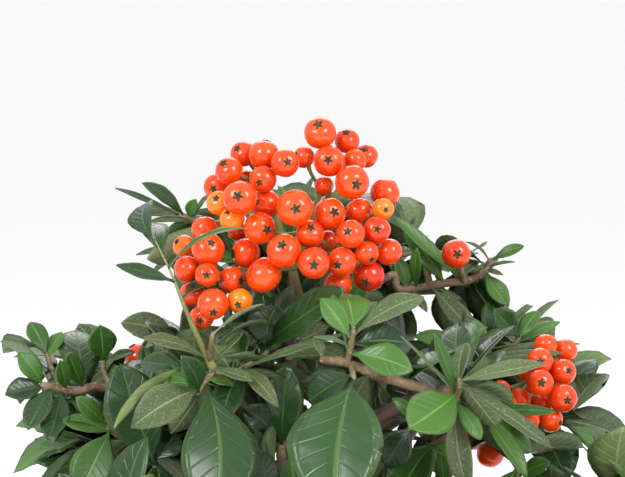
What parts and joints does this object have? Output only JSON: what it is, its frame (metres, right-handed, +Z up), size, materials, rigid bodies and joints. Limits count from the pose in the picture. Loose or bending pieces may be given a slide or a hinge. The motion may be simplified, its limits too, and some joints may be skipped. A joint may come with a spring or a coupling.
{
  "type": "firethorn bonsai in a pot",
  "caption": "Small evergreen firethorn tree with a curved trunk, glossy oval leaves and clusters of orange-red berries, growing in a plain shallow oval pot.",
  "frame": {"origin": "middle of the pot's underside, level with the ground under its feet", "axes": "+Z up along the tree's height, front of the tree towards -Y, pot's long side along X"},
  "size_m": [0.2037, 0.1566, 0.2604],
  "materials": {
    "pot_clay": "unglazed stoneware, matte",
    "soil": "loose granular soil",
    "bark": "rough bark with pale pores",
    "foliage": "glossy leathery leaves",
    "berry": "glossy smooth berries"
  },
  "bodies": {
    "root": {"pot": "pot_clay", "soil": "soil", "trunk": "bark", "bough_left_low": "bark", "bough_front_left": "bark", "bough_front_right": "bark", "bough_right_low": "bark", "bough_back_low": "bark", "bough_front_low": "bark", "bough_left_mid": "bark", "bough_back_left": "bark", "bough_back_right": "bark", "bough_right_mid": "bark", "bough_right_front": "bark", "bough_left_front": "bark", "bough_back_high": "bark", "bough_back_right_high": "bark", "bough_right_high": "bark", "bough_left_high": "bark", "spray_left_front": "foliage", "spray_left_mid": "foliage", "spray_top": "foliage", "spray_left_high": "foliage", "spray_right_high": "foliage", "spray_centre_front": "foliage", "spray_right_front": "foliage", "spray_right_mid": "foliage", "spray_front_low": "foliage", "spray_left_low": "foliage", "spray_front_left": "foliage", "spray_front_right": "foliage", "spray_right_low": "foliage", "spray_back_low": "foliage", "spray_back_left": "foliage", "spray_back_right": "foliage", "spray_back_high": "foliage", "fruit_top": "berry"}
  },
  "joints": []
}
